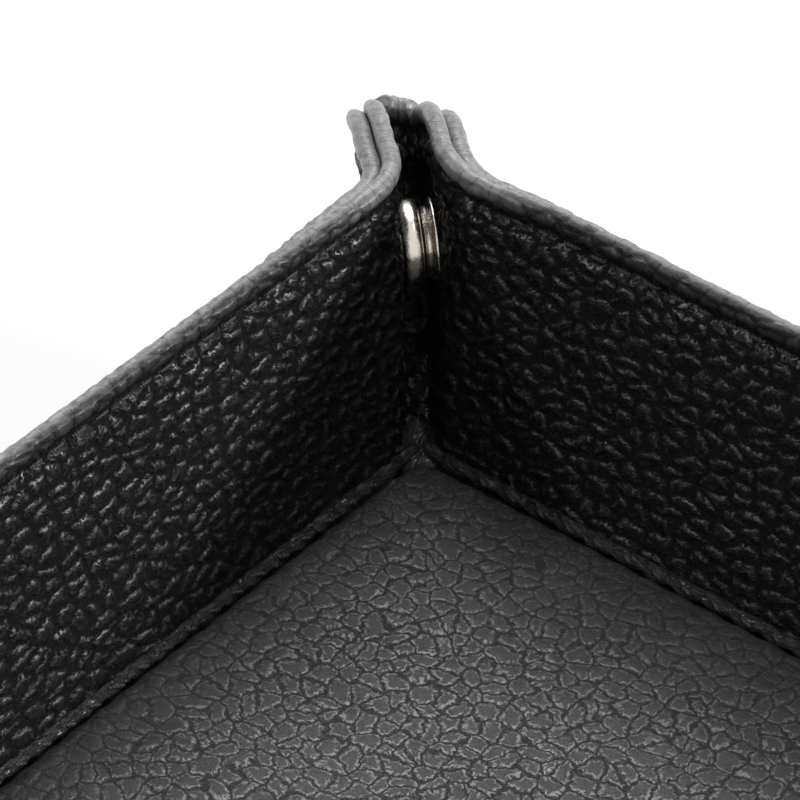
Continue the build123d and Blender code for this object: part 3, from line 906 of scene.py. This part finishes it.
def crease_stitches(quarter, material):
    """Seam that nips the welt along a crease."""
    count = int(2 * CREASE_SEAM_HALF // CREASE_PITCH)
    first = -(count - 1) * CREASE_PITCH / 2
    places = []
    for index in range(count):
        middle = first + index * CREASE_PITCH
        here = np.array([RIDGE_X - 0.75, middle, RIDGE_Z + 0.45])
        way = np.array([0.35, 1.0, 0.25])
        places.append([quarter_turn(v, quarter) for v in (here, way, np.array([-0.7, 0, 0.7]))])
    return stitch_set(f"{WALLS[quarter]}_crease_seam", places, CREASE_STITCH, material)


# Press studs


def rounded(points, rounding):
    """An outline with its corners eased: each corner becomes a short arc of five points."""
    eased_points = [points[0]]
    for before, at, after in zip(points, points[1:], points[2:]):
        before, at, after = Vector(before), Vector(at), Vector(after)
        back, on = before - at, after - at
        reach = min(rounding, back.length * 0.45, on.length * 0.45)
        one, two = at + back.normalized() * reach, at + on.normalized() * reach
        for t in (0.0, 0.25, 0.5, 0.75, 1.0):
            eased_points.append(tuple(one * (1 - t) ** 2 + at * 2 * t * (1 - t) + two * t**2))
    eased_points.append(points[-1])
    return eased_points


def turned_part(name, quarter, outline, material, shift):
    """A turned metal part about the line through both halves of a press stud."""
    bm = bmesh.new()
    line = [bm.verts.new((r, 0, z)) for r, z in rounded(outline, SNAP_ROUNDING)]
    geom = line + [bm.edges.new(pair) for pair in zip(line, line[1:])]
    bmesh.ops.spin(
        bm,
        geom=geom,
        cent=(0, 0, 0),
        axis=(0, 0, 1),
        angle=2 * pi,
        steps=SNAP_SEGMENTS,
        use_merge=True,
    )
    bmesh.ops.remove_doubles(bm, verts=bm.verts, dist=1e-4)
    open_edges = [e for e in bm.edges if e.is_boundary]
    if open_edges:
        bmesh.ops.holes_fill(bm, edges=open_edges, sides=0)
    bmesh.ops.recalc_face_normals(bm, faces=bm.faces)
    axes = [quarter_turn(v, quarter) for v in (CORNER_X, CORNER_Y, CORNER_Z)]
    place = quarter_turn(CORNER + SNAP_OUT * CORNER_X + SNAP_UP * CORNER_Y, quarter)
    rows = [[axes[c][r] * MM for c in range(3)] + [place[r] * MM] for r in range(3)]
    matrix = Matrix(rows + [[0, 0, 0, 1]])
    if shift:
        matrix = matrix @ Matrix.Translation((0, 0, shift)) @ Matrix.Rotation(SNAP_LEAN, 4, "X")
    bmesh.ops.transform(bm, matrix=matrix, verts=bm.verts)
    return link(name, new_mesh(name, bm), material)


SNAP_OUTLINES = {
    # the domed cap outside the socket leaf, with its post through the leather
    "cap": [
        (0, -SEAT - 1.55), (2.2, -SEAT - 1.5), (4.2, -SEAT - 1.25), (5.4, -SEAT - 0.8),
        (6.15, -SEAT - 0.35), (6.15, -SEAT + 0.02), (1.5, -SEAT + 0.02),
        (1.5, -LEAF_FACE + 1.5), (2.0, -LEAF_FACE + 1.5), (1.9, -LEAF_FACE + 1.75),
        (0, -LEAF_FACE + 1.75),
    ],
    # the socket: a rolled cup with a raised lip round its mouth
    "socket": [
        (1.55, -LEAF_FACE + 0.02), (5.75, -LEAF_FACE + 0.02), (6.05, -LEAF_FACE + 0.3),
        (6.2, -LEAF_FACE + 1.0), (6.2, -LEAF_FACE + 1.9), (6.0, -LEAF_FACE + 2.6),
        (5.35, -LEAF_FACE + 2.88), (4.5, -LEAF_FACE + 2.62),
        (3.9, -LEAF_FACE + 2.6), (3.45, -LEAF_FACE + 2.88), (2.98, -LEAF_FACE + 2.8),
        (2.96, -LEAF_FACE + 2.15), (3.55, -LEAF_FACE + 2.15), (3.55, -LEAF_FACE + 1.5),
        (2.96, -LEAF_FACE + 1.5), (2.96, -LEAF_FACE + 0.6), (1.55, -LEAF_FACE + 0.6),
    ],
    # the stud: flange, stepped body and a necked head that snaps into the socket
    "stud": [
        (1.5, LEAF_FACE - 0.02), (5.9, LEAF_FACE - 0.02), (6.2, LEAF_FACE - 0.3), (6.1, LEAF_FACE - 0.72),
        (5.5, LEAF_FACE - 0.82), (5.05, LEAF_FACE - 1.05), (4.9, LEAF_FACE - 1.7), (4.55, LEAF_FACE - 2.08),
        (3.6, LEAF_FACE - 1.9), (2.6, LEAF_FACE - 2.05), (2.3, LEAF_FACE - 2.3), (2.3, LEAF_FACE - 2.85),
        (2.58, LEAF_FACE - 3.2), (2.58, LEAF_FACE - 3.7), (2.3, LEAF_FACE - 4.28),
        (2.0, LEAF_FACE - 4.28), (2.0, LEAF_FACE - 2.1), (1.5, LEAF_FACE - 2.1),
    ],
    # the back cap outside the stud leaf, with its post
    "post": [
        (0, SEAT + 1.05), (3.6, SEAT + 1.0), (4.7, SEAT + 0.85), (5.2, SEAT + 0.45), (5.2, SEAT - 0.02),
        (1.5, SEAT - 0.02), (1.5, LEAF_FACE - 2.1), (2.0, LEAF_FACE - 2.1), (1.85, LEAF_FACE - 2.35),
        (0, LEAF_FACE - 2.35),
    ],
}


# Finishes


def finish_tree(name):
    made = bpy.data.materials.new(name)
    made.use_nodes = True
    tree = made.node_tree
    tree.nodes.clear()
    out = tree.nodes.new("ShaderNodeOutputMaterial")
    shader = tree.nodes.new("ShaderNodeBsdfPrincipled")
    tree.links.new(shader.outputs[0], out.inputs[0])
    return made, tree, shader


def shader_group(name, sizes, results):
    """A group that takes a place and its sizes, and puts out values that change over the surface."""
    inputs = {"Place": ("NodeSocketVector", None)}
    inputs.update({label: ("NodeSocketFloat", value) for label, value in sizes.items()})
    outputs = {label: ("NodeSocketFloat", None) for label in results}
    return group_tree(name, "ShaderNodeTree", inputs, outputs)


def sized_place(tree, given):
    """The place that a group is given, counted in its first size."""
    return vector_of(tree, "SCALE", given.outputs[0], sum_of(tree, "DIVIDE", 1.0, given.outputs[1]))


GRAIN_SIZES = ("Cell", "Warp", "Steepness")


def pebble_group():
    sizes = dict(zip(GRAIN_SIZES, WALL_GRAIN))
    tree, given, result = shader_group("Pebbled grain", sizes, ("Height", "Groove", "Lip"))
    feed(tree, result, enumerate(pebble_nodes(tree, *[given.outputs[i] for i in range(4)])))
    return tree


def crease_group():
    """Fine creases that run across a turned edge, where the leather is drawn round it."""
    tree, given, result = shader_group("Edge creases", {"Size": 1.9}, ("Height", "Line"))
    scaled = vector_of(tree, "MULTIPLY", sized_place(tree, given), (1.0, 0.3, 1.0))
    drift = noise(tree, scaled, 0.9, 3.0)[1]
    edge = cell_distance(tree, vector_of(tree, "ADD", scaled, vector_of(tree, "SCALE", drift, 0.9)))
    height, line = eased(tree, edge, 0.0, 0.1, 0.3, 1.0), eased(tree, edge, 0.0, 0.05, 1.0, 0.0)
    feed(tree, result, {0: height, 1: line})
    return tree


def pore_group():
    """Pores and hair lines, finer than the grain, and a slow drift of tone."""
    tree, given, result = shader_group("Pores and tone", {"Pore Size": 0.22}, ("Height", "Tone"))
    fine = noise(tree, sized_place(tree, given), 1.0, 3.0, 0.6)[0]
    bent = sum_of(tree, "ABSOLUTE", sum_of(tree, "SUBTRACT", fine, 0.5))
    slow = noise(tree, given.outputs[0], 0.05, 3.0)[0]
    height = sum_of(tree, "MULTIPLY_ADD", bent, -2.0, 1.0)
    feed(tree, result, {0: height, 1: eased(tree, slow, 0.3, 0.7)})
    return tree


def metal_group():
    """Handling marks on plated metal: fine scuffs, and a faint cloudiness."""
    tree, given, result = shader_group("Handling marks", {"Scuff Size": 0.35}, ("Scuff", "Cloud"))
    stretched = vector_of(tree, "MULTIPLY", sized_place(tree, given), (1.0, 0.25, 1.6))
    scuff = noise(tree, stretched, 1.0, 4.0, 0.7, "3D")[0]
    cloud = noise(tree, given.outputs[0], 0.4, 2.0, dimensions="3D")[0]
    feed(tree, result, {0: eased(tree, scuff, 0.5, 0.72), 1: cloud})
    return tree


pebbles = pebble_group()
edge_creases = crease_group()
pores = pore_group()
handling = metal_group()


def blend_colour(tree, factor, one, two):
    return node(tree, "ShaderNodeMix", {0: factor, 6: one, 7: two}, data_type="RGBA").outputs[2]


def blend_value(tree, factor, one, two):
    return node(tree, "ShaderNodeMix", {0: factor, 2: one, 3: two}, data_type="FLOAT").outputs[0]


def bump(tree, height, depth, strength=1.0, over=None):
    """Bump of a depth in millimetres, over another one or by itself."""
    inputs = {"Height": height, "Distance": depth * MM, "Strength": strength}
    if over is not None:
        inputs["Normal"] = over
    return node(tree, "ShaderNodeBump", inputs).outputs[0]


def sheet_place(tree):
    """Place on the flat sheet, in millimetres."""
    return vector_of(tree, "SCALE", node(tree, "ShaderNodeUVMap", uv_map="Sheet").outputs[0], 1 / MM)


def object_place(tree):
    """Place on the tray, in millimetres."""
    return vector_of(tree, "SCALE", node(tree, "ShaderNodeTexCoord").outputs["Object"], 1 / MM)


def marks_of(tree, group, place, **sizes):
    """Outputs of a group at a place."""
    inputs = {"Place": place, **{label.replace("_", " "): value for label, value in sizes.items()}}
    return node(tree, "ShaderNodeGroup", inputs, node_tree=group).outputs


def leather_finish(name, grain_values, depths, tones, shine, gloss, pore_size):
    """Black pebbled leather; its turned edges are smoother and finely creased, with a painted sheen of
    light grey on them; the pebbles carry painted shade in their grooves and painted glints on their lips.
    """
    made, tree, shader = finish_tree(name)
    place = sheet_place(tree)
    grain = marks_of(tree, pebbles, place, **dict(zip(GRAIN_SIZES, grain_values)))
    fine = marks_of(tree, pores, place, Pore_Size=pore_size)
    rim = node(tree, "ShaderNodeAttribute", attribute_name="rim").outputs["Vector"]
    creases = marks_of(tree, edge_creases, rim)
    bead = node(tree, "ShaderNodeAttribute", attribute_name="bead").outputs["Fac"]
    calm = blend_value(tree, 0.4, creases["Height"], grain["Height"])
    height = blend_value(tree, bead, grain["Height"], calm)
    open_grain = sum_of(tree, "MULTIPLY_ADD", bead, -0.85, 1.0)
    # Painted shade: the grooves, and the creases drawn across the turned edges, take a near-black tone.
    groove = sum_of(tree, "MULTIPLY", grain["Groove"], open_grain)
    drawn = sum_of(tree, "MULTIPLY", sum_of(tree, "MULTIPLY", creases["Line"], bead), 0.35)
    groove = sum_of(tree, "MAXIMUM", groove, drawn)
    # Painted highlight: the lips round the pebbles get a lighter tone as glints, with lower roughness and a
    # coat.
    glint_lips = sum_of(tree, "MULTIPLY", grain["Lip"], open_grain)
    crest, lip, edge, sunk = tones
    tone = blend_colour(tree, fine["Tone"], crest, tuple(0.65 * c for c in crest[:3]) + (1,))
    tone = blend_colour(tree, glint_lips, tone, lip)
    # Painted sheen: the turned edges take a light grey tone where a bright reflection would lie.
    tone = blend_colour(tree, bead, tone, edge)
    rough = sum_of(tree, "MULTIPLY_ADD", fine["Height"], 0.16, shine - 0.08)
    rough = blend_value(tree, glint_lips, rough, shine - 0.04)
    rough = blend_value(tree, bead, rough, 0.58)
    grain_depth, pore_depth = depths
    skin_grain = sum_of(tree, "MULTIPLY_ADD", bead, -0.65, 1.0)
    slack = sum_of(tree, "MULTIPLY_ADD", grain["Height"], -0.7, 1.0, clamp=True)
    crumple = sum_of(tree, "MULTIPLY", fine["Height"], sum_of(tree, "MULTIPLY", slack, skin_grain))
    finish = {
        "Base Color": blend_colour(tree, groove, tone, sunk),
        "Roughness": blend_value(tree, groove, rough, 0.6),
        "IOR": 1.5,
        "Specular IOR Level": gloss,
        "Coat Weight": sum_of(tree, "MAXIMUM", bead, glint_lips),
        "Coat Roughness": 0.4,
        "Normal": bump(tree, crumple, pore_depth, over=bump(tree, height, grain_depth)),
    }
    feed(tree, shader, finish)
    return made


def grey(level):
    return (level, level, 1.04 * level, 1)


# Both finishes are the same black leather; the walls' crest tone is set far darker than the floor's, as
# painted shade on the walls.
wall_leather = leather_finish(
    "Wall leather",
    WALL_GRAIN,
    (0.5, 0.4),
    # Tones of crest, lip, turned edge and groove: painted glints on the lips, painted sheen on the turned
    # edges, painted shade in the grooves.
    (grey(0.0012), grey(0.02), grey(0.19), grey(0.0004)),
    shine=0.34,
    gloss=0.18,
    pore_size=0.7,
)
floor_leather = leather_finish(
    "Floor leather",
    FLOOR_GRAIN,
    (0.24, 0.3),
    # Tones of crest, lip, turned edge and groove: painted glints on the lips, painted shade in the grooves.
    (grey(0.033), grey(0.06), grey(0.03), grey(0.01)),
    shine=0.44,
    gloss=0.4,
    pore_size=0.5,
)


def one_mask_finish(name, build, dark, bright, roughness, depth):
    """A finish whose colour, roughness and bump all follow one mask."""
    made, tree, shader = finish_tree(name)
    mask = build(tree)
    rough = blend_value(tree, mask, *roughness)
    colour = blend_colour(tree, mask, dark, bright)
    feed(tree, shader, {"Base Color": colour, "Roughness": rough, "Normal": bump(tree, mask, depth)})
    return made


def wound_fibres(tree):
    """Fine fibres that wind round a cord of gathered leather."""
    inputs = {"Vector": sheet_place(tree), "Rotation": (0, 0, radians(24)), "Scale": (3.2, 0.7, 1)}
    wound = node(tree, "ShaderNodeMapping", inputs).outputs[0]
    return eased(tree, noise(tree, wound, 1.0, 3.0, 0.6, Distortion=0.6)[0], 0.42, 0.62)


def thread_twist(tree):
    inputs = {"Vector": object_place(tree), "Scale": 1.1, "Distortion": 1.5, "Detail": 1.0}
    return node(tree, "ShaderNodeTexWave", inputs, bands_direction="DIAGONAL").outputs[1]


def metal_finish(name, bright, dull, smooth_rough, scuff_rough):
    made, tree, shader = finish_tree(name)
    marks = marks_of(tree, handling, object_place(tree))
    finish = {
        "Base Color": blend_colour(tree, marks["Cloud"], bright, dull),
        "Roughness": blend_value(tree, marks["Scuff"], smooth_rough, scuff_rough),
        "Metallic": 1.0,
        "Normal": bump(tree, marks["Scuff"], 0.01, 0.5, over=bump(tree, marks["Cloud"], 0.15)),
    }
    feed(tree, shader, finish)
    return made


def board_finish():
    made, tree, shader = finish_tree("Fibre board")
    fibre = noise(tree, object_place(tree), 1.3, 5.0, 0.7, "3D")[0]
    colour = blend_colour(tree, fibre, (0.16, 0.11, 0.07, 1), (0.42, 0.33, 0.22, 1))
    feed(tree, shader, {"Base Color": colour, "Roughness": 0.85, "Normal": bump(tree, fibre, 0.1)})
    return made


# The welt's near-black tones are painted shade, set as dark as the walls' leather.
ridge_leather = one_mask_finish(
    "Gathered crease leather",
    wound_fibres,
    (0.001, 0.001, 0.001, 1),
    (0.014, 0.014, 0.015, 1),
    (0.65, 0.26),
    0.2,
)
thread = one_mask_finish(
    "Waxed black thread",
    thread_twist,
    (0.006, 0.006, 0.007, 1),
    (0.028, 0.028, 0.03, 1),
    (0.65, 0.42),
    0.08,
)
chrome = metal_finish("Polished snap metal", (0.80, 0.775, 0.74, 1), (0.62, 0.55, 0.47, 1), 0.22, 0.36)
spring = metal_finish("Spring wire", (0.6, 0.58, 0.55, 1), (0.45, 0.43, 0.4, 1), 0.22, 0.4)
board = board_finish()


# Dress the frame

LINING_STEP, COVER_STEP, EAR_LINING_STEP = 0.42, 0.5, 0.45
# Where the lining starts to leave the base, and where it is all on the wall
LINING_FOOT = np.array([88.4, 0, 2.4])
LINING_CLEAR = np.array([88.4, 0, 4.8])
# Distance up an ear's bend and fold at which the points before and after them are taken
HALF_WAY = 20.0


def placed(point, quarter):
    """A point of the right-hand side or its corner, turned to its quarter and in metres."""
    return (quarter_turn(point, quarter) * MM).tolist()


pad = floor_pad(floor_leather)
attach(pad, "base")
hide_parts("base_lining_leather", "base_foam")

under = underside(wall_leather)
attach(under, "base")
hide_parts("base_outer_leather")

for quarter, wall in enumerate(WALLS):
    corner = CORNERS[quarter]
    ridge = crease_ridge(quarter, ridge_leather)
    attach(ridge, "base")
    tuck = corner_tuck(quarter, ridge_leather)
    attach(tuck, "base")
    seam = crease_stitches(quarter, thread)
    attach(seam, "base")
    if quarter == 0:
        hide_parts("crease_thread")

    lining = wall_skin(quarter, 1, LINING_STEP, wall_leather)
    foot, clear = placed(LINING_FOOT, quarter), placed(LINING_CLEAR, quarter)
    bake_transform(lining)
    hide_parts(f"{wall}_wall_lining_leather")

    cover = wall_skin(quarter, -1, COVER_STEP, wall_leather)
    low = placed(np.array([HALF_FLOOR, 0, 0]), quarter)
    high = placed(WALL_ORIGIN - HEM_HALF * WALL_Z, quarter)
    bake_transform(cover)
    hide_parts(f"{wall}_wall_outer_leather")

    for side in (1, -1):
        rim = wall_stitches(quarter, side, thread)
        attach(rim, f"{wall}_wall")
        if side > 0:
            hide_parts(f"{wall}_wall_rim_thread")
        for part, stitches in ear_stitches(quarter, side, thread).items():
            body = "socket_ear" if part == "socket_leaf" else "stud_ear"
            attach(stitches, f"{corner}_{body}")

    for side, layer in ((1, "lining_leather"), (-1, "outer_leather")):
        leaves = ear_skins(quarter, side, EAR_LINING_STEP if side > 0 else COVER_STEP, wall_leather)
        middle = WALL_ORIGIN + (HALF_FLOOR - BEND_FOOT) * WALL_X + HALF_WAY * BEND_LINE
        before = placed(middle - BEND_RUN * TO_EAR, quarter)
        after = placed(middle + BEND_RUN * ON_EAR, quarter)
        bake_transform(leaves["socket_leaf"])
        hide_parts(f"{corner}_socket_ear_{layer}")
        centre = CORNER + HALF_WAY * FOLD_LINE - FOLD_INSET * FOLD_OUT
        before = placed(centre - LEAF_OFFSET * CORNER_Z, quarter)
        after = placed(centre + LEAF_OFFSET * CORNER_Z, quarter)
        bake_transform(leaves["fold"])
        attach(leaves["stud_leaf"], f"{corner}_stud_ear")
        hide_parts(f"{corner}_stud_ear_{layer}")

    for part, body in (("cap", "socket"), ("socket", "socket"), ("stud", "stud"), ("post", "stud")):
        outline, shift = SNAP_OUTLINES[part], SNAP_SHIFT[part]
        metal = turned_part(f"{corner}_{part}_metal", quarter, outline, chrome, shift)
        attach(metal, f"{corner}_{body}_ear")
        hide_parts(f"{corner}_snap_{part}")

for name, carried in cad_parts.items():
    for ending, material in (("snap_ring", spring), ("board", board)):
        if name.endswith(ending):
            carried.data.materials.clear()
            carried.data.materials.append(material)

for tree in (wall_relief, floor_relief, swell_relief):
    bpy.data.node_groups.remove(tree)


# Floor, light and camera


def seen_rays(tree):
    """1 for rays that show the surroundings, 0 for those that only light the tray."""
    path = tree.nodes.new("ShaderNodeLightPath").outputs
    seen = sum_of(tree, "MAXIMUM", path["Is Camera Ray"], path["Is Glossy Ray"])
    return sum_of(tree, "MAXIMUM", seen, path["Is Transmission Ray"])


def table_finish():
    made = bpy.data.materials.new("Table")
    made.use_nodes = True
    tree = made.node_tree
    tree.nodes.clear()
    out = tree.nodes.new("ShaderNodeOutputMaterial")
    matt = node(tree, "ShaderNodeBsdfDiffuse", {"Color": (0.9, 0.9, 0.9, 1)})
    glow = node(tree, "ShaderNodeEmission", {"Color": (1, 1, 1, 1), "Strength": 1.0})
    share = sum_of(tree, "MULTIPLY", seen_rays(tree), 0.6)
    mix = node(tree, "ShaderNodeMixShader", {0: share, 1: matt.outputs[0], 2: glow.outputs[0]})
    tree.links.new(mix.outputs[0], out.inputs[0])
    return made


def white_world():
    world = bpy.data.worlds.new("Studio")
    bpy.context.scene.world = world
    world.use_nodes = True
    tree = world.node_tree
    tree.nodes.clear()
    out = tree.nodes.new("ShaderNodeOutputWorld")
    strength = blend_value(tree, seen_rays(tree), 0.15, 1.0)
    glow = node(tree, "ShaderNodeBackground", {"Color": (1, 1, 1, 1), "Strength": strength})
    tree.links.new(glow.outputs[0], out.inputs[0])


def soft_lamp(name, place, target, size, power):
    data = bpy.data.lights.new(name, "AREA")
    data.shape = "SQUARE"
    data.size = size
    data.energy = power
    lamp = bpy.data.objects.new(name, data)
    bpy.context.scene.collection.objects.link(lamp)
    lamp.location = place
    lamp.rotation_euler = (Vector(target) - Vector(place)).to_track_quat("-Z", "Y").to_euler()


ground = bmesh.new()
bmesh.ops.create_grid(ground, x_segments=2, y_segments=2, size=3.0)
bmesh.ops.translate(ground, verts=ground.verts, vec=(0, 0, -0.0002))
table = link("table", new_mesh("table", ground), table_finish())
white_world()

# Each lamp's place and size in metres and its power in watts; all face the corner that is seen
LAMP_TARGET = (-0.05, 0.05, 0.0)
LAMPS = {
    "window": ((-0.45, 0.62, 0.85), 0.6, 8.0),
    "overhead": ((0.2, 0.3, 1.1), 0.4, 3.5),
    "side": ((0.9, 0.62, 0.36), 0.14, 12.0),
    "fill": ((-0.55, -0.75, 0.6), 0.1, 3.2),
}
for name, (place, size, power) in LAMPS.items():
    soft_lamp(name, place, LAMP_TARGET, size, power)

# The camera looks down into the back left corner, from fits of the rim, crease and snap lines
VIEW_AZIMUTH = radians(35.1)
VIEW_ELEVATION = radians(38.9)
VIEW_ROLL = radians(4.0)
VIEW_DISTANCE = 0.7
FOCUS_PIXELS = 5145.0
FRAME_SIDE = 800.0
SENSOR = 36.0
AIM = Vector((-HALF_FLOOR, HALF_FLOOR, HINGE_HEIGHT)) * MM
AIM_PIXEL = (415.1, 444.7)

ahead = Vector(
    (
        -sin(VIEW_AZIMUTH) * cos(VIEW_ELEVATION),
        cos(VIEW_AZIMUTH) * cos(VIEW_ELEVATION),
        -sin(VIEW_ELEVATION),
    )
)
right = Vector((cos(VIEW_AZIMUTH), sin(VIEW_AZIMUTH), 0))
up = right.cross(ahead)
level_right, level_up = right, up
right = cos(VIEW_ROLL) * level_right + sin(VIEW_ROLL) * level_up
up = cos(VIEW_ROLL) * level_up - sin(VIEW_ROLL) * level_right
offset_x = (AIM_PIXEL[0] - FRAME_SIDE / 2) / FOCUS_PIXELS
offset_y = (FRAME_SIDE / 2 - AIM_PIXEL[1]) / FOCUS_PIXELS
camera_data = bpy.data.cameras.new("camera")
camera_data.sensor_width = SENSOR
camera_data.lens = FOCUS_PIXELS / FRAME_SIDE * SENSOR
camera_data.clip_start = 0.01
camera_data.clip_end = 20
camera = bpy.data.objects.new("camera", camera_data)
bpy.context.scene.collection.objects.link(camera)
place = AIM - VIEW_DISTANCE * (ahead + offset_x * right + offset_y * up)
turn = Matrix((right, up, -ahead)).transposed().to_4x4()
camera.matrix_world = Matrix.Translation(place) @ turn
bpy.context.scene.camera = camera
bpy.context.scene.view_settings.view_transform = "Standard"
